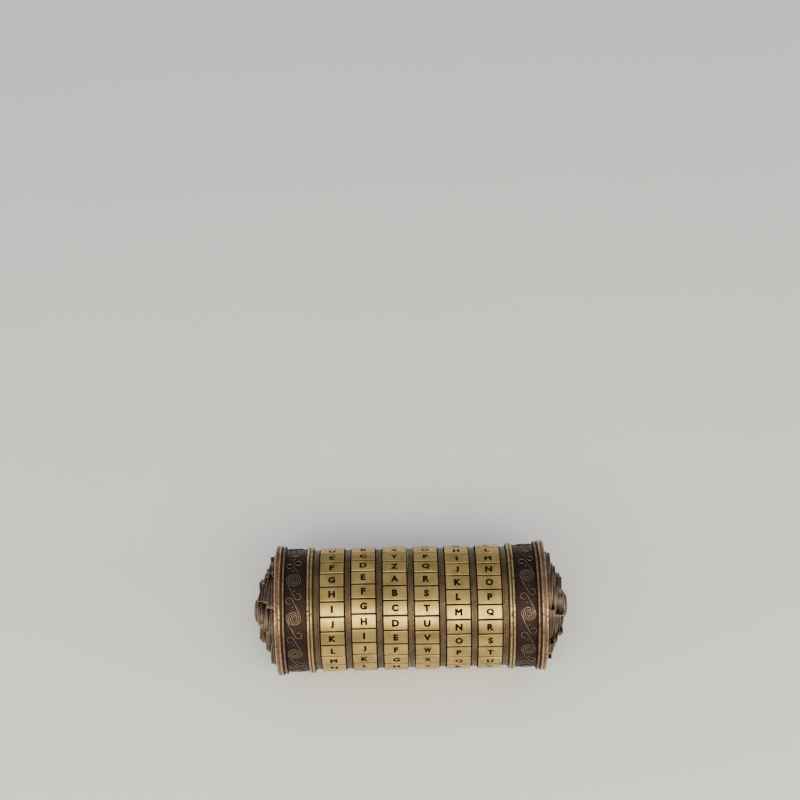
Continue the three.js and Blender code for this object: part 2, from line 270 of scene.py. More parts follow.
@dataclass(frozen=True)
class AgedMetal:
    """A metal that is rubbed bright where it stands proud and keeps its patina where it lies low."""

    name: str
    bright: Colour
    patina: Colour
    low: float  # radius below which the patina is whole
    high: float  # radius above which the metal is bright
    grain: Grain = Grain.AROUND
    bright_roughness: float = 0.3
    patina_roughness: float = 0.6
    patina_metal: float = 0.7
    patina_gloss: float = 0.5  # how strongly patina that isn't metal mirrors
    mottle: float = 0.3  # how much patina stays in spots on the bright metal
    mottle_scale: float = 0.6
    grain_depth: float = 0.01
    shade: float = 0.12  # slow change of tone
    wander: float = 0.12  # how far the worn edge strays, in millimetres of radius
    spot_edge: tuple[float, float] = (0.42, 0.72)  # the noise where a spot starts and where it is whole
    soot: float = 0.25  # how much patina stays in the marks of the grain

    def build(self) -> bpy.types.Material:
        """Makes the material."""
        graph = Graph(self.name)
        spots = graph.noise(self.mottle_scale, detail=6.0)
        fine = graph.noise(3.0, detail=3.0)
        marks = graph.noise(1.0, self.grain.value, 5.0)
        tone = graph.noise(0.12, detail=2.0)
        raised = (graph.radius + (spots - 0.5) * self.wander).between(self.low, self.high)
        spotted = spots.between(*self.spot_edge) * self.mottle
        rubbed = (raised * (1 - spotted)).clipped()
        dull = tuple(c * (1 - 3 * self.shade) for c in self.bright)
        metal = graph.mix(tone.between(0.3, 0.7), self.bright, dull)
        metal = graph.mix(marks.between(0.35, 0.7) * self.soot, metal, self.patina)
        colour = graph.mix(rubbed, self.patina, metal)
        roughness = self.patina_roughness + (self.bright_roughness - self.patina_roughness) * rubbed
        roughness = (roughness + (marks - 0.5) * 0.18 + (fine - 0.5) * 0.1).clipped()
        height = marks * 0.7 + spots * 0.6 + fine * 0.25
        return graph.finish(
            Base_Color=colour,
            Metallic=self.patina_metal + (1 - self.patina_metal) * rubbed,
            Roughness=roughness,
            Specular_IOR_Level=self.patina_gloss,
            Normal=graph.bump(height, self.grain_depth),
        )


@dataclass(frozen=True)
class PlainMetal:
    """A machined metal with fine tool marks and a little staining."""

    name: str
    colour: Colour
    stain: Colour
    grain: Grain = Grain.AROUND
    roughness: float = 0.32
    grain_depth: float = 0.006

    def build(self) -> bpy.types.Material:
        """Makes the material."""
        graph = Graph(self.name)
        marks = graph.noise(1.2, self.grain.value, 5.0)
        cloud = graph.noise(0.18, detail=4.0)
        metal = graph.mix(cloud.between(0.45, 0.75) * 0.6, self.colour, self.stain)
        return graph.finish(
            Base_Color=graph.mix(marks.between(0.4, 0.8) * 0.3, metal, self.stain),
            Metallic=1.0,
            Roughness=(self.roughness + (marks - 0.5) * 0.2 + cloud * 0.1).clipped(),
            Normal=graph.bump(marks, self.grain_depth),
        )


@dataclass(frozen=True)
class StudioFloor:
    """Pale matt paint."""

    name: str = "studio_floor"
    colour: Colour = (0.885, 0.89, 0.905)

    def build(self) -> bpy.types.Material:
        """Makes the material."""
        graph = Graph(self.name)
        cloud = graph.noise(0.01, detail=2.0)
        shade = tuple(c * 0.97 for c in self.colour)
        return graph.finish(Base_Color=graph.mix(cloud, self.colour, shade), Roughness=0.9)


# ---- Making meshes ----


def add_object(name: str, data: bpy.types.ID) -> bpy.types.Object:
    """Makes an object and puts it into the scene.

    Args:
        name: Its name.
        data: Its mesh, curve, light or camera.

    Returns:
        The object.
    """
    made = bpy.data.objects.new(name, data)
    bpy.context.scene.collection.objects.link(made)
    return made


class Solid:
    """A bmesh in millimetres that becomes a piece."""

    def __init__(self) -> None:
        """Starts empty."""
        self.bm = bmesh.new()

    def spin(self, section: Section, sweep: float = TAU, start: float = 0.0,
             steps: int = ROUND_STEPS) -> None:
        """Turns a half section about X, and closes its two ends if it isn't a whole turn.

        Args:
            section: The corners as pairs of x and radius. It closes on itself unless it ends on the axis.
            sweep: The angle that it turns through.
            start: The angle where it starts.
            steps: How many steps a whole turn has.
        """
        bm = self.bm
        verts = [bm.verts.new((x, 0.0, radius)) for x, radius in section]
        pairs = list(zip(verts, verts[1:] + verts[:1]))
        if section[0][1] == section[-1][1] == 0:
            pairs.pop()
        edges = [bm.edges.new(pair) for pair in pairs]
        bmesh.ops.rotate(bm, verts=verts, cent=(0, 0, 0), matrix=Matrix.Rotation(start, 3, "X"))
        whole = sweep > TAU - 0.001
        count = max(1, round(steps * sweep / TAU))
        made = bmesh.ops.spin(
            bm, geom=verts + edges, cent=(0, 0, 0), axis=(1, 0, 0), dvec=(0, 0, 0),
            angle=sweep, steps=count, use_merge=whole, use_duplicate=False,
        )
        if not whole:
            last = [e for e in made["geom_last"] if isinstance(e, bmesh.types.BMEdge)]
            bmesh.ops.edgeloop_fill(bm, edges=edges)
            bmesh.ops.edgeloop_fill(bm, edges=last)
        bmesh.ops.remove_doubles(bm, verts=bm.verts, dist=WELD)

    def ring(self, start: float, end: float, bore: float, radius: float, gap: float = 0.0) -> None:
        """Turns a plain ring, which may leave a gap at the line of reading.

        Args:
            start: Its one side along the axis.
            end: Its other side.
            bore: Its inner radius.
            radius: Its outer radius.
            gap: Half the angle that it leaves open.
        """
        section = [(start, bore), (start, radius), (end, radius), (end, bore)]
        self.spin(section, TAU - 2 * gap, READING_ANGLE + gap if gap else 0.0)

    def block(self, size: Sequence[float], centre: Sequence[float]) -> None:
        """Adds a block.

        Args:
            size: Its three sizes.
            centre: Its middle.
        """
        verts = bmesh.ops.create_cube(self.bm, size=1.0)["verts"]
        bmesh.ops.scale(self.bm, vec=size, verts=verts)
        bmesh.ops.translate(self.bm, vec=centre, verts=verts)

    def thicken(self, faces: Sequence[bmesh.types.BMFace], by: Sequence[float]) -> None:
        """Gives open faces a thickness.

        Args:
            faces: The faces.
            by: How far and which way their copy lies.
        """
        made = bmesh.ops.extrude_face_region(self.bm, geom=faces)
        verts = [g for g in made["geom"] if isinstance(g, bmesh.types.BMVert)]
        bmesh.ops.translate(self.bm, vec=by, verts=verts)

    def soften(self, offset: float, segments: int = 2, sharper_than: float = 30.0,
               worn: bool = False) -> None:
        """Rounds every edge that is sharper than an angle.

        Args:
            offset: How far the rounding reaches.
            segments: How many faces it has.
            sharper_than: The angle in degrees.
            worn: Whether the rounding takes the piece's second material.
        """
        bmesh.ops.recalc_face_normals(self.bm, faces=self.bm.faces)
        limit = math.radians(sharper_than)
        edges = [e for e in self.bm.edges if e.is_manifold and e.calc_face_angle(0.0) > limit]
        made = bmesh.ops.bevel(
            self.bm, geom=edges, offset=offset, offset_type="OFFSET", affect="EDGES",
            segments=segments, profile=0.5, material=-1, clamp_overlap=True,
        )
        for face in made["faces"]:
            face.material_index = int(worn)

    def turn(self, angle: float) -> None:
        """Turns the whole solid about X."""
        matrix = Matrix.Rotation(angle, 3, "X")
        bmesh.ops.rotate(self.bm, verts=self.bm.verts, cent=(0, 0, 0), matrix=matrix)

    def face_left(self) -> None:
        """Turns the solid half round about the line of reading, which makes a right end a left one."""
        line = Vector((0, -math.sin(READING_ANGLE), math.cos(READING_ANGLE)))
        matrix = Matrix.Rotation(math.pi, 3, line)
        bmesh.ops.rotate(self.bm, verts=self.bm.verts, cent=(0, 0, 0), matrix=matrix)

    def add_mesh(self, mesh: bpy.types.Mesh) -> None:
        """Adds a mesh and removes it from the file."""
        self.bm.from_mesh(mesh)
        bpy.data.meshes.remove(mesh)

    def add_bent(self, mesh: bpy.types.Mesh, radius: float, centre: float = 0.0, angle: float = 0.0) -> None:
        """Adds a copy of flat work wrapped round the axis: x runs along it, y up round it, z outwards.

        Args:
            mesh: The flat work.
            radius: The radius of the surface that z = 0 comes to lie on.
            centre: Where x = 0 comes to stand along the axis.
            angle: Where y = 0 comes to stand round it.
        """
        bent = mesh.copy()
        for vert in bent.vertices:
            x, up, height = vert.co
            turn = angle - up / radius
            reach = radius + height
            vert.co = (centre + x, -reach * math.sin(turn), reach * math.cos(turn))
        self.add_mesh(bent)

    def copy(self) -> "Solid":
        """A solid of its own with the same shape."""
        twin = Solid()
        twin.bm.free()
        twin.bm = self.bm.copy()
        return twin

    def to_mesh(self, name: str) -> bpy.types.Mesh:
        """Gives the work as a mesh and frees it."""
        mesh = bpy.data.meshes.new(name)
        self.bm.to_mesh(mesh)
        self.bm.free()
        return mesh

    def finish(self, name: str, *materials: bpy.types.Material, sharp: float = 35.0) -> bpy.types.Object:
        """Makes the piece.

        Args:
            name: Its name.
            *materials: Its materials.
            sharp: The angle past which an edge looks sharp, in degrees.

        Returns:
            The object, with its place in its mesh.
        """
        bmesh.ops.remove_doubles(self.bm, verts=self.bm.verts, dist=5 * WELD)
        bmesh.ops.recalc_face_normals(self.bm, faces=self.bm.faces)
        bmesh.ops.scale(self.bm, vec=(MM, MM, MM), verts=self.bm.verts)
        mesh = self.to_mesh(name)
        for material in materials:
            mesh.materials.append(material)
        mesh.shade_smooth()
        mesh.set_sharp_from_angle(angle=math.radians(sharp))
        return add_object(name, mesh)


def place_piece(piece: bpy.types.Object, body: str, slot: str, *replaced: str) -> None:
    """Tells the frame what a piece rides on and stands for, and reports it.

    Args:
        piece: The piece.
        body: The body that it moves with.
        slot: The record's material slot; it is not used.
        *replaced: The frame's nodes that it stands for.
    """
    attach(piece, body)
    if replaced:
        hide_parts(*replaced)
    LOG.info("%s: %d faces on %s", piece.name, len(piece.data.polygons), body)


def span(node: str) -> tuple[float, float]:
    """Where a node of the frame starts and ends along the axis, in millimetres."""
    low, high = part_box(node)
    return low.x / MM, high.x / MM


def flat_mesh(source: bpy.types.ID, name: str) -> bpy.types.Mesh:
    """The mesh of a curve or a text, which is then removed.

    Args:
        source: The curve's data.
        name: The name of the mesh.

    Returns:
        A mesh of its own.
    """
    holder = add_object(name, source)
    evaluated = holder.evaluated_get(bpy.context.evaluated_depsgraph_get())
    mesh = bpy.data.meshes.new_from_object(evaluated)
    bpy.data.objects.remove(holder)
    bpy.data.curves.remove(source)
    return mesh


# ---- The dials ----


@dataclass
class LetterTile:
    """One engraved tile, made flat: x along the axis, y up, z = 0 on its face."""

    width: float = 9.4
    length: float = 5.52
    depth: float = 1.0
    edge: float = 0.2
    letter_height: float = 2.85
    letter_width: float = 3.1
    letter_boldness: float = 0.065
    capital: float = 0.75  # a capital's height in the font's own units
    engraving: float = 0.4
    strips: int = 8  # how many straight strips the face is bent in

    def letter_solid(self, letter: str) -> bpy.types.Mesh:
        """The solid that cuts one letter into the tile.

        Args:
            letter: A capital.

        Returns:
            Its mesh, centred on the tile and standing through the face.
        """
        text = bpy.data.curves.new(f"cutter_{letter}", "FONT")
        text.body = letter
        text.resolution_u = 4
        text.offset = self.letter_boldness
        text.extrude = 0.5  # to each side, so it is 1 thick before it is scaled
        solid = Solid()
        solid.add_mesh(flat_mesh(text, f"cutter_{letter}"))
        bmesh.ops.remove_doubles(solid.bm, verts=solid.bm.verts, dist=WELD)
        bmesh.ops.recalc_face_normals(solid.bm, faces=solid.bm.faces)
        xs = [v.co.x for v in solid.bm.verts]
        ys = [v.co.y for v in solid.bm.verts]
        width, height = max(xs) - min(xs), max(ys) - min(ys)
        middle = (-(min(xs) + max(xs)) / 2, -(min(ys) + max(ys)) / 2, 0.0)
        rise = self.letter_height / height
        across = min(max(rise, self.letter_height / self.capital), self.letter_width / width)
        bmesh.ops.translate(solid.bm, vec=middle, verts=solid.bm.verts)
        bmesh.ops.scale(solid.bm, vec=(across, rise, 2 * self.engraving), verts=solid.bm.verts)
        return solid.to_mesh(f"cutter_{letter}")

    def blank(self) -> bpy.types.Mesh:
        """The tile before it is engraved, with rounded edges round its face."""
        solid = Solid()
        solid.block((self.width, self.length, self.depth), (0, 0, -self.depth / 2))
        top = [e for e in solid.bm.edges if max(v.co.z for v in e.verts) > -0.001]
        bmesh.ops.bevel(
            solid.bm, geom=top, offset=self.edge, offset_type="OFFSET", affect="EDGES",
            segments=3, profile=0.5, material=-1, clamp_overlap=True,
        )
        return solid.to_mesh("tile_blank")

    def engraved(self, letter: str) -> bpy.types.Mesh:
        """Cuts a letter into a blank.

        Args:
            letter: A capital.

        Returns:
            The tile's mesh, cut into strips that bend cleanly.
        """
        tile = add_object("tile", self.blank())
        cutter = add_object("cutter", self.letter_solid(letter))
        cut = tile.modifiers.new("letter", "BOOLEAN")
        cut.operation = "DIFFERENCE"
        cut.solver = "EXACT"
        cut.use_self = True
        cut.object = cutter
        evaluated = tile.evaluated_get(bpy.context.evaluated_depsgraph_get())
        mesh = bpy.data.meshes.new_from_object(evaluated)
        for thing in (tile, cutter):
            data = thing.data
            bpy.data.objects.remove(thing)
            bpy.data.meshes.remove(data)
        solid = Solid()
        solid.add_mesh(mesh)
        bm = solid.bm
        for i in range(1, self.strips):
            place = (0, (i / self.strips - 0.5) * self.length, 0)
            geom = [*bm.verts, *bm.edges, *bm.faces]
            bmesh.ops.bisect_plane(bm, geom=geom, dist=WELD, plane_co=place, plane_no=(0, 1, 0))
        bmesh.ops.triangulate(bm, faces=[f for f in bm.faces if len(f.verts) > 4])
        return solid.to_mesh(f"tile_{letter}")


@dataclass
class Dials:
    """The six letter rings, each showing the letter of the code near the reading line."""

    tile: LetterTile
    radius: float = 25.0
    shoulder_radius: float = 24.3
    bore_radius: float = 20.9
    code: str = "IGCTMQ"
    offsets: tuple[float, ...] = (-1.5, -3.8, -1.6, -0.7, 3.4, 4.0)  # degrees off the reading line
    sharp: float = 14.0  # degrees past which an edge looks sharp

    def ring(self, width: float) -> Solid:
        """A ring centred on x = 0, with the letter A at the top.

        Args:
            width: How wide the ring is.

        Returns:
            The ring with its 26 tiles.
        """
        solid = Solid()
        for i, letter in enumerate(LETTERS):
            mesh = self.tile.engraved(letter)
            solid.add_bent(mesh, self.radius, angle=i * LETTER_PITCH)
            bpy.data.meshes.remove(mesh)
        core = Solid()
        half = width / 2
        core.ring(-half, half, self.bore_radius, self.shoulder_radius)
        core.soften(0.12)
        solid.add_mesh(core.to_mesh("core"))
        return solid

    def build(self, brass: bpy.types.Material) -> None:
        """Makes a ring and sets a copy of it for each dial.

        Args:
            brass: The finish of the tiles.
        """
        start, end = span("letter_ring_1")
        master = self.ring(end - start)
        for number, (letter, offset) in enumerate(zip(self.code, self.offsets), 1):
            solid = master.copy()
            start, end = span(f"letter_ring_{number}")
            solid.turn(READING_ANGLE + math.radians(offset) - LETTERS.index(letter) * LETTER_PITCH)
            bmesh.ops.translate(solid.bm, vec=((start + end) / 2, 0, 0), verts=solid.bm.verts)
            piece = solid.finish(f"lettered_dial_{number}", brass, sharp=self.sharp)
            place_piece(piece, f"dial_{number}", "tile_brass", f"letter_ring_{number}")
        master.bm.free()


# ---- What the dials turn on ----


@dataclass
class Spacers:
    """The strips between the dials, with a worn lip along each edge and a notch for the lugs."""

    radius: float = 24.2
    lip: float = 0.42
    slope_end: float = 1.6 * lip  # where the lip's slope reaches the hollow
    hollow: float = 0.22
    notch_radius: float = 19.5
    bore_radius: float = 16.3
    notch_half_angle: float = math.radians(7.4)

    def build(self, bronze: bpy.types.Material) -> None:
        """Makes the six spacers and the retaining nut.

        Args:
            bronze: Their finish.
        """
        names = [f"spacer_ring_{number}" for number in range(1, DIAL_COUNT + 1)] + ["retaining_nut"]
        for node in names:
            start, end = span(node)
            solid = Solid()
            solid.spin([
                (start, self.notch_radius),
                (start, self.radius),
                (start + self.lip, self.radius),
                (start + self.slope_end, self.radius - self.hollow),
                (end - self.slope_end, self.radius - self.hollow),
                (end - self.lip, self.radius),
                (end, self.radius),
                (end, self.notch_radius),
            ])
            solid.ring(start, end, self.bore_radius, self.notch_radius + OVERLAP, self.notch_half_angle)
            solid.soften(0.07)
            piece = solid.finish(f"{node}_strip", bronze)
            place_piece(piece, "fixed_half", "spacer_bronze", node)


@dataclass
class Tubes:
    """The outer sleeve with its slot, the tube that pulls out of it, and the lugs on the tube."""

    tube_bore: float = 12.6
    tube_radius: float = 14.2
    sleeve_bore: float = 14.5
    sleeve_radius: float = 16.0
    slot_half_angle: float = math.radians(7.4)
    slot_start: float = -36.45
    lines: tuple[float, float] = (2.0, 3.2)  # how far the turned lines are from the tube's mouth
    line_depth: float = 0.2
    lug_width: float = 3.5
    lug_foot: float = tube_radius - 0.4  # sunk into the tube
    lug_top: float = 19.2

    def build(self, brass: bpy.types.Material, steel: bpy.types.Material) -> None:
        """Makes the sleeve, the tube and the six lugs.

        Args:
            brass: The finish of the sleeve and the tube.
            steel: The finish of the lugs.
        """
        self._sleeve(brass)
        self._tube(brass)
        for number in range(1, DIAL_COUNT + 1):
            self._lug(number, steel)

    def _sleeve(self, brass: bpy.types.Material) -> None:
        """Makes the sleeve: a whole turn up to the slot, and then all but the slot."""
        start, end = span("outer_sleeve")
        bore, outside = self.sleeve_bore, self.sleeve_radius
        solid = Solid()
        solid.ring(start, self.slot_start, bore, outside)
        solid.ring(self.slot_start - OVERLAP, end, bore, outside, self.slot_half_angle)
        solid.soften(0.15)
        piece = solid.finish("slotted_sleeve", brass)
        place_piece(piece, "fixed_half", "tube_brass", "outer_sleeve")

    def _tube(self, brass: bpy.types.Material) -> None:
        """Makes the tube, with two fine turned lines near its mouth."""
        start, end = span("inner_tube")
        section = [(start, self.tube_bore), (start, self.tube_radius)]
        depth = self.line_depth
        for line in self.lines:
            section += [
                (start + line, self.tube_radius),
                (start + line + depth, self.tube_radius - depth),
                (start + line + 2 * depth, self.tube_radius),
            ]
        section += [(end, self.tube_radius), (end, self.tube_bore)]
        solid = Solid()
        solid.spin(section)
        solid.soften(0.12)
        piece = solid.finish("message_tube", brass)
        place_piece(piece, "pull_out_half", "tube_brass", "inner_tube")

    def _lug(self, number: int, steel: bpy.types.Material) -> None:
        """Makes one lug with a rounded top."""
        start, end = span(f"key_lug_{number}")
        solid = Solid()
        size = (end - start, self.lug_width, self.lug_top - self.lug_foot)
        solid.block(size, ((start + end) / 2, 0, (self.lug_top + self.lug_foot) / 2))
        solid.soften(0.3, 3)
        solid.turn(READING_ANGLE)
        piece = solid.finish(f"tube_lug_{number}", steel)
        place_piece(piece, "pull_out_half", "steel", f"key_lug_{number}")


# ---- The ends ----


@dataclass
class ScrollWork:
    """The wire scrolls of one band: tight double spirals joined by hooked stems."""

    repeats: int = 10
    spiral_radius: float = 2.85
    core_radius: float = 0.38
    turns: float = 1.55
    hook_centre: tuple[float, float] = (-1.75, 6.85)
    hook_radius: float = 1.45
    outward: float = 0.65  # how far the scrolls sit off the band's middle
    hook_end: float = math.radians(310)
    wire: float = 0.17
    dot: tuple[float, float] = (-0.3, 4.6)
    dot_radius: float = 0.28
    step: float = 0.22  # between two points of the wire
    bow: float = 0.35  # how far the stem bows out
    tighten: float = 0.3  # the share of its radius that the hook loses

    def arm(self) -> list[tuple[float, float]]:
        """The middle line of one arm: out along the spiral, up the stem and round the hook."""
        points = []
        count = int(self.turns * TAU * self.spiral_radius / 2 / self.step)
        for i in range(count + 1):
            share = i / count
            angle = (share - 1) * self.turns * TAU
            radius = self.core_radius + (self.spiral_radius - self.core_radius) * share
            points.append((radius * math.cos(angle), radius * math.sin(angle)))
        cx, cy = self.hook_centre
        lean = math.atan2(self.spiral_radius - cx - self.hook_radius, cy)
        meet = (cx + self.hook_radius * math.cos(lean), cy + self.hook_radius * math.sin(lean))
        stem = math.dist(points[-1], meet)
        for i in range(1, int(stem / (2 * self.step))):
            share = i * 2 * self.step / stem
            ease = self.bow * math.sin(math.pi * share) * (1 - share)
            points.append((
                points[count][0] + (meet[0] - points[count][0]) * share + ease,
                points[count][1] + (meet[1] - points[count][1]) * share,
            ))
        curl = int((self.hook_end - lean) * self.hook_radius / self.step)
        for i in range(curl + 1):
            share = i / curl
            angle = lean + (self.hook_end - lean) * share
            radius = self.hook_radius * (1 - self.tighten * share)
            points.append((cx + radius * math.cos(angle), cy + radius * math.sin(angle)))
        return points

    def unit(self) -> bpy.types.Mesh:
        """One repeat, made flat: two arms and two dots, alike when turned half round."""
        curve = bpy.data.curves.new("scroll", "CURVE")
        curve.dimensions = "3D"
        curve.bevel_depth = self.wire
        curve.bevel_resolution = 1
        curve.use_fill_caps = True
        for side in (1, -1):
            points = self.arm()
            spline = curve.splines.new("POLY")
            spline.points.add(len(points) - 1)
            for point, (x, y) in zip(spline.points, points):
                point.co = (side * x, side * y, 0.0, 1.0)
        solid = Solid()
        solid.add_mesh(flat_mesh(curve, "scroll"))
        for side in (1, -1):
            made = bmesh.ops.create_icosphere(solid.bm, subdivisions=2, radius=self.dot_radius)
            place = (side * self.dot[0], side * self.dot[1], 0)
            bmesh.ops.translate(solid.bm, vec=place, verts=made["verts"])
        return solid.to_mesh("scroll_unit")

    def wrap(self, solid: Solid, radius: float, centre: float, first_angle: float) -> None:
        """Sets the repeats round a band.

        Args:
            solid: The band that they are added to.
            radius: The radius that the wires' middle lies on.
            centre: The middle of the band along the axis.
            first_angle: Where the first spiral stands.
        """
        mesh = self.unit()
        for i in range(self.repeats):
            solid.add_bent(mesh, radius, centre, first_angle + i * TAU / self.repeats)
        bpy.data.meshes.remove(mesh)


@dataclass
class Terrace:
    """One tier of a rosette: a pinwheel plate, and petals on it that each slope down to the next."""

    radius: float
    step: float
    turn: float  # degrees
    core: float  # radius under the next tier, where the petals start
    petals: int = 9
    points: int = 12
    rows: int = 6
    inset: float = 0.5
    slope: float = 0.62  # the share of its height that a petal loses
    fall: float = 1.4  # how late it loses it
    belly: float = 0.12  # how far its middle swells
    twist: float = math.radians(14)
    ledge: float = 0.45  # the share of the tier's height that the plate has
    sink: float = 0.2  # how deep a petal stands in the plate

    def edge(self, share: float) -> float:
        """The radius of a petal's edge at a share of the way round it."""
        return self.radius - self.step * share**2

    def place(self, petal: float, radius: float) -> Vector:
        """A place across the axis, with whole petals counted round it."""
        angle = petal * TAU / self.petals + math.radians(self.turn) + READING_ANGLE
        return Vector((0, -radius * math.sin(angle), radius * math.cos(angle)))

    def _plate(self, start: float, end: float) -> Solid:
        """Makes the plate that the petals lie on.

        Args:
            start: Its back.
            end: Its face.

        Returns:
            The plate.
        """
        solid = Solid()
        bm = solid.bm
        shares = [k / self.points for k in range(self.points + 1)]
        corners = [self.place(i + share, self.edge(share)) for i in range(self.petals) for share in shares]
        face = bm.faces.new([bm.verts.new(corner + Vector((start, 0, 0))) for corner in corners])
        solid.thicken([face], (end - start, 0, 0))
        solid.soften(0.14, 2, 40.0, worn=True)
        return solid

    def _petal(self, number: int, start: float, end: float) -> Solid:
        """Makes one petal.

        Args:
            number: Which petal it is.
            start: Its back.
            end: Its highest place.

        Returns:
            The petal.
        """
        solid = Solid()
        bm = solid.bm
        bmesh.ops.create_grid(bm, x_segments=self.points, y_segments=self.rows, size=0.5)
        solid.thicken(bm.faces[:], (0, 0, 1))
        for vert in bm.verts:
            share, out, up = vert.co.x + 0.5, vert.co.y + 0.5, vert.co.z
            radius = self.core + (self.edge(share) - self.inset - self.core) * out
            lean = self.twist * (1 - out) * self.petals / TAU
            belly = self.belly * math.sin(math.pi * share) * math.sin(math.pi * out)
            height = (end - start) * (1 - self.slope * share**self.fall + belly * (1 - share))
            vert.co = self.place(number + share + lean, radius) + Vector((start + height * up, 0, 0))
        solid.soften(0.12, 2, 50.0, worn=True)
        return solid

    def build(self, start: float, end: float) -> Solid:
        """Makes the tier between two places along the axis.

        Args:
            start: Its back.
            end: Its face.

        Returns:
            The tier.
        """
        ledge = start + (end - start) * self.ledge
        solid = self._plate(start, ledge)
        for number in range(self.petals):
            solid.add_mesh(self._petal(number, ledge - self.sink, end).to_mesh("petal"))
        return solid


@dataclass
class EndCap:
    """One end: cap, inner trim, scroll band, rim, rosette and button, made as the right-hand end."""

    side: str
    body: str
    held_bore: float  # the bore that holds the sleeve or the tube
    first_spiral: float  # degrees round the band
    drum_radius: float = 21.7
    band_bore: float = 22.0
    trim_radius: float = 25.6
    ground_radius: float = 24.75
    scroll_radius: float = 24.88
    rim_radius: float = 26.5
    scroll: ScrollWork = field(default_factory=ScrollWork)
    tiers: tuple[tuple[str, Terrace], ...] = (
        ("lower", Terrace(22.4, 2.6, -36, 13.0)),
        ("middle", Terrace(17.6, 2.4, -28, 9.5)),
        ("upper", Terrace(13.4, 2.2, -22, 4.5)),
    )
    button_radius: float = 6.0
    button_foot: float = 4.2
    screw_hole: float = 1.8
    plate: float = 3.0  # how thick the cup's end is
    shoulder: float = 0.35  # the dark step beside the dials
    sharp: float = 25.0  # degrees past which an edge looks sharp

    def reach(self, part: str) -> tuple[float, float]:
        """Where a part of this end starts and ends, counted outwards from the middle of the object."""
        start, end = sorted(abs(x) for x in span(f"{self.side}_{part}"))
        return start, end

    def put(self, solid: Solid, name: str, part: str, slot: str, *materials: bpy.types.Material) -> None:
        """Finishes one part and sets it on its own end.

        Args:
            solid: The part as a right-hand one.
            name: What the piece is called, after its side.
            part: The frame's node that it stands for, after its side.
            slot: The record's material slot.
            *materials: Its materials.
        """
        if self.side == "left":
            solid.face_left()
        piece = solid.finish(f"{self.side}_{name}", *materials, sharp=self.sharp)
        place_piece(piece, self.body, slot, f"{self.side}_{part}")

    def build(self, metals: dict[str, bpy.types.Material]) -> None:
        """Makes every part of the end.

        Args:
            metals: The finishes by name.
        """
        self._cup(metals["dark_bronze"])
        self._inner_trim(metals["trim_brass"])
        self._band(metals["scroll_bronze"])
        self._rim(metals["rose_gold"])
        for name, tier in self.tiers:
            solid = tier.build(*self.reach(f"rosette_{name}"))
            # The first finish is dark bronze with painted shade in its colour; the second is wear on the
            # rounded edges.
            worn = (metals["rosette"], metals["worn_edge"])
            self.put(solid, f"rosette_{name}_tier", f"rosette_{name}", "dark_bronze", *worn)
        self._button(metals["rosette"], metals["worn_edge"])

    def _cup(self, bronze: bpy.types.Material) -> None:
        """Makes the cup that carries the bands."""
        start, end = self.reach("end_cap")
        plate = end - self.plate
        hole = self.screw_hole
        solid = Solid()
        solid.spin([
            (start, self.held_bore),
            (start, self.drum_radius),
            (end, self.drum_radius),
            (end, hole),
            (plate, hole),
            (plate, self.held_bore),
        ])
        solid.soften(0.2)
        self.put(solid, "cup", "end_cap", "dark_bronze", bronze)

    def _inner_trim(self, brass: bpy.types.Material) -> None:
        """Makes the trim beside the dials: two rounded strips with a groove between them."""
        back, end = self.reach("inner_trim")
        start = back + self.shoulder
        middle = (start + end) / 2
        top = self.trim_radius
        solid = Solid()
        solid.spin([
            (back, self.band_bore),
            (back, top - 1.2),
            (start, top - 1.2),
            (start, top - 0.25),
            (start + 0.3, top),
            (middle - 0.32, top),
            (middle - 0.14, top - 0.45),
            (middle + 0.14, top - 0.45),
            (middle + 0.32, top),
            (end - 0.3, top),
            (end, top - 0.25),
            (end, self.band_bore),
        ])
        solid.soften(0.1, 2, 25.0)
        self.put(solid, "strip_trim", "inner_trim", "trim_brass", brass)

    def _band(self, bronze: bpy.types.Material) -> None:
        """Makes the band and sets its scrolls."""
        start, end = self.reach("scroll_band")
        solid = Solid()
        solid.ring(start, end, self.band_bore, self.ground_radius)
        solid.soften(0.15)
        angle = math.radians(self.first_spiral)
        self.scroll.wrap(solid, self.scroll_radius, (start + end) / 2 + self.scroll.outward, angle)
        self.put(solid, "scroll_relief", "scroll_band", "scroll_bronze", bronze)

    def _rim(self, gold: bpy.types.Material) -> None:
        """Makes the rim: a thin ridge, a valley and a crown with two bright edges."""
        start, end = self.reach("rim_trim")
        top = self.rim_radius
        crown = start + 1.65
        solid = Solid()
        solid.spin([
            (start, self.band_bore),
            (start, top - 0.75),
            (start + 0.2, top - 0.45),
            (start + 0.7, top - 0.45),
            (start + 0.9, top - 0.75),
            (start + 1.0, top - 1.6),
            (crown, top - 1.6),
            (crown, top - 0.25),
            (crown + 0.2, top),
            (crown + 0.6, top),
            (crown + 0.85, top - 0.5),
            (end - 0.85, top - 0.5),
            (end - 0.6, top),
            (end - 0.2, top),
            (end, top - 0.25),
            (end, top - 1.3),
            (end - 0.25, top - 1.5),
            (end - 0.25, top - 1.9),
            (end, top - 2.1),
            (end, self.band_bore),
        ])
        solid.soften(0.08, 2, 20.0)
        self.put(solid, "ridged_rim", "rim_trim", "rose_gold", gold)

    def _button(self, *metals: bpy.types.Material) -> None:
        """Makes the button in the middle of the rosette, with two rings round its dome."""
        start, end = self.reach("end_button")
        base = start + 0.9
        radius = self.button_radius
        foot = self.button_foot
        solid = Solid()
        angles = [k / 6 * math.pi / 2 for k in range(6, -1, -1)]
        dome = [(end - 1.1 * (1 - math.cos(a)), (radius - 1.3) * math.sin(a)) for a in angles]
        solid.spin([
            (start, 0.0),
            (start, foot),
            (base, foot),
            (base, radius),
            (base + 0.7, radius),
            (base + 0.9, radius - 0.5),
            (base + 0.9, radius - 1.1),
            *dome,
        ], steps=64)
        solid.soften(0.1, 2, 25.0, worn=True)
        self.put(solid, "button_dome", "end_button", "dark_bronze", *metals)


# ---- The studio ----


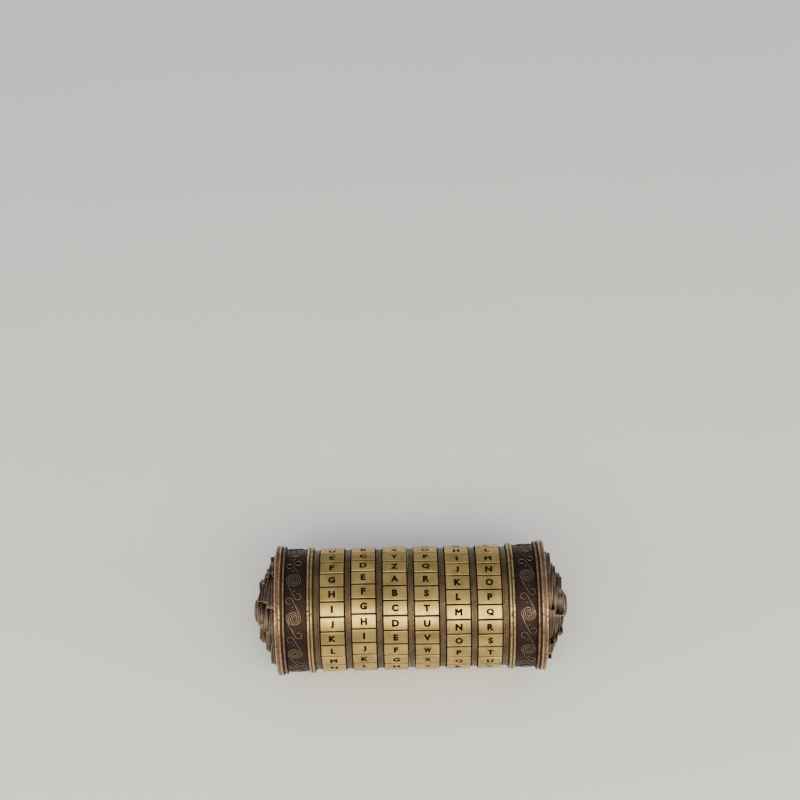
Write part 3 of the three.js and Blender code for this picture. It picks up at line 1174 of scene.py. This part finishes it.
@dataclass
class Studio:
    """Floor, lights and camera."""

    floor_radius: float = 9.0
    floor_gap: float = 0.02 * MM
    sight_elevation: float = math.radians(61.6)
    lens: float = 78.345
    sensor: float = 36.0
    sight_depth: float = 711.547 * MM  # how far along the line of sight the object's middle is
    sight_offset: tuple[float, float] = (4.414 * MM, -84.846 * MM)  # how far right and up of it
    roll: float = math.radians(-1.25)
    fill: float = 0.42
    fill_tint: Colour = (0.9, 0.92, 0.95)

    def build(self) -> None:
        """Makes everything that isn't the object."""
        self._floor()
        self._lights()
        self._camera()

    def _floor(self) -> None:
        """Makes the floor just under the rims."""
        bm = bmesh.new()
        bmesh.ops.create_circle(bm, cap_ends=True, segments=96, radius=self.floor_radius)
        bmesh.ops.translate(bm, vec=(0, 0, CAD_BOX[0].z - self.floor_gap), verts=bm.verts)
        mesh = bpy.data.meshes.new("floor")
        bm.to_mesh(mesh)
        bm.free()
        mesh.materials.append(StudioFloor().build())
        add_object("floor", mesh)

    def _light(self, name: str, angle: float, side: float, distance: float, size: tuple[float, float],
               power: float, tint: Colour) -> None:
        """Hangs one soft box that faces the object.

        Args:
            name: Its name.
            angle: Degrees from straight above towards the viewer.
            side: Degrees to the right.
            distance: How far away it is.
            size: Its width and height.
            power: Its power in watts.
            tint: Its colour.
        """
        data = bpy.data.lights.new(name, "AREA")
        data.shape = "RECTANGLE"
        data.size, data.size_y = size
        data.energy = power
        data.color = tint
        lamp = add_object(name, data)
        tip, lean = math.radians(angle), math.radians(side)
        away = Vector((math.sin(lean), -math.sin(tip) * math.cos(lean), math.cos(tip) * math.cos(lean)))
        lamp.location = away * distance
        lamp.rotation_mode = "QUATERNION"
        lamp.rotation_quaternion = away.to_track_quat("Z", "Y")

    @staticmethod
    def _ceiling(power: float, spread: float) -> None:
        """Lights everything evenly from above.

        Args:
            power: Its power in watts on a square metre.
            spread: How wide it is.
        """
        data = bpy.data.lights.new("ceiling", "SUN")
        data.energy = power
        data.angle = spread
        add_object("ceiling", data)

    def _lights(self) -> None:
        """Hangs the soft boxes and sets the world's fill."""
        self._light("key", 44, 2, 0.9, (1.1, 0.4), 8.6, (1.0, 0.92, 0.66))
        self._light("left", 45, -62, 0.9, (0.4, 0.5), 2.2, (1.0, 0.98, 0.96))
        self._light("right", 45, 62, 0.9, (0.4, 0.5), 2.2, (1.0, 0.98, 0.96))
        self._ceiling(0.5, math.radians(120))
        world = bpy.data.worlds.new("studio")
        world.use_nodes = True
        background = world.node_tree.nodes["Background"]
        background.inputs["Color"].default_value = (*self.fill_tint, 1.0)
        background.inputs["Strength"].default_value = self.fill
        bpy.context.scene.world = world

    def _camera(self) -> None:
        """Sets the camera so that the object stands low in the picture, seen from above."""
        data = bpy.data.cameras.new("camera")
        data.sensor_width = self.sensor
        data.lens = self.lens
        data.clip_start, data.clip_end = 0.01, 20.0
        camera = add_object("camera", data)
        across, up = self.sight_offset
        dip = self.sight_elevation - math.atan2(-up, self.sight_depth)
        turn = Matrix.Rotation(math.pi / 2 - dip, 3, "X") @ Matrix.Rotation(self.roll, 3, "Z")
        camera.rotation_mode = "QUATERNION"
        camera.rotation_quaternion = turn.to_quaternion()
        camera.location = -(turn @ Vector((across, up, -self.sight_depth)))
        bpy.context.scene.camera = camera


# ---- Putting it together ----


def finishes() -> dict[str, bpy.types.Material]:
    """The finishes by name."""
    made = [
        AgedMetal("tile_brass", (0.66, 0.46, 0.165), (0.008, 0.006, 0.004), 24.76, 24.9, patina_roughness=0.9,
                  bright_roughness=0.34, mottle=0.1, patina_metal=0.0, patina_gloss=0.12),
        AgedMetal("spacer_bronze", (0.26, 0.168, 0.1), (0.06, 0.038, 0.027), 23.5, 24.2, shade=0.16,
                  bright_roughness=0.42, mottle=1.0, mottle_scale=1.4, grain=Grain.CAST, grain_depth=0.12,
                  patina_metal=0.6),
        AgedMetal("trim_brass", (0.7, 0.49, 0.23), (0.045, 0.03, 0.018), 25.1, 25.5,
                  bright_roughness=0.28, mottle=0.9, mottle_scale=0.8, grain=Grain.CAST, grain_depth=0.07),
        AgedMetal("scroll_bronze", (0.4, 0.3, 0.205), (0.038, 0.023, 0.0205), 24.9, 25.05,
                  bright_roughness=0.4, mottle=0.5, mottle_scale=0.7, grain=Grain.CAST, grain_depth=0.16,
                  patina_metal=0.95, patina_roughness=0.5),
        AgedMetal("rose_gold", (0.72, 0.47, 0.28), (0.075, 0.042, 0.027), 25.7, 26.45,
                  bright_roughness=0.28, mottle=1.0, mottle_scale=0.8, grain=Grain.CAST, grain_depth=0.1),
        PlainMetal("dark_bronze", (0.12, 0.085, 0.07), (0.05, 0.036, 0.03), roughness=0.45),
        # The rosette's own dark bronze is darkened further here with painted shade, standing in for the
        # shadow that the tiers and the button lie in.
        PlainMetal("rosette", (0.092, 0.067, 0.056), (0.04, 0.029, 0.024), Grain.CAST, 0.42, 0.02),
        PlainMetal("worn_edge", (0.5, 0.33, 0.23), (0.14, 0.095, 0.07), Grain.CAST, 0.34, 0.02),
        PlainMetal("tube_brass", (0.58, 0.43, 0.2), (0.36, 0.25, 0.11)),
        PlainMetal("steel", (0.42, 0.42, 0.41), (0.2, 0.19, 0.18), roughness=0.34),
    ]
    return {metal.name: metal.build() for metal in made}


def dress_kept_nodes(metals: dict[str, bpy.types.Material]) -> None:
    """Gives the frame's nodes that stay in sight or inside their finishes.

    Args:
        metals: The finishes by name.
    """
    slots = {row["node"]: row["material_slot"] for row in frame["record"]["subparts"]}
    for name, node in frame["nodes"].items():
        node.data.materials.clear()
        node.data.materials.append(metals[slots[name]])


def main() -> None:
    """Builds the object and the studio."""
    logging.basicConfig(level=logging.INFO, format="%(message)s")
    metals = finishes()
    dress_kept_nodes(metals)
    Dials(LetterTile()).build(metals["tile_brass"])
    Spacers().build(metals["spacer_bronze"])
    Tubes().build(metals["tube_brass"], metals["steel"])
    EndCap("left", "fixed_half", held_bore=16.3, first_spiral=23.8).build(metals)
    EndCap("right", "pull_out_half", held_bore=14.5, first_spiral=36.2).build(metals)
    Studio().build()


if __name__ == "__main__":
    main()
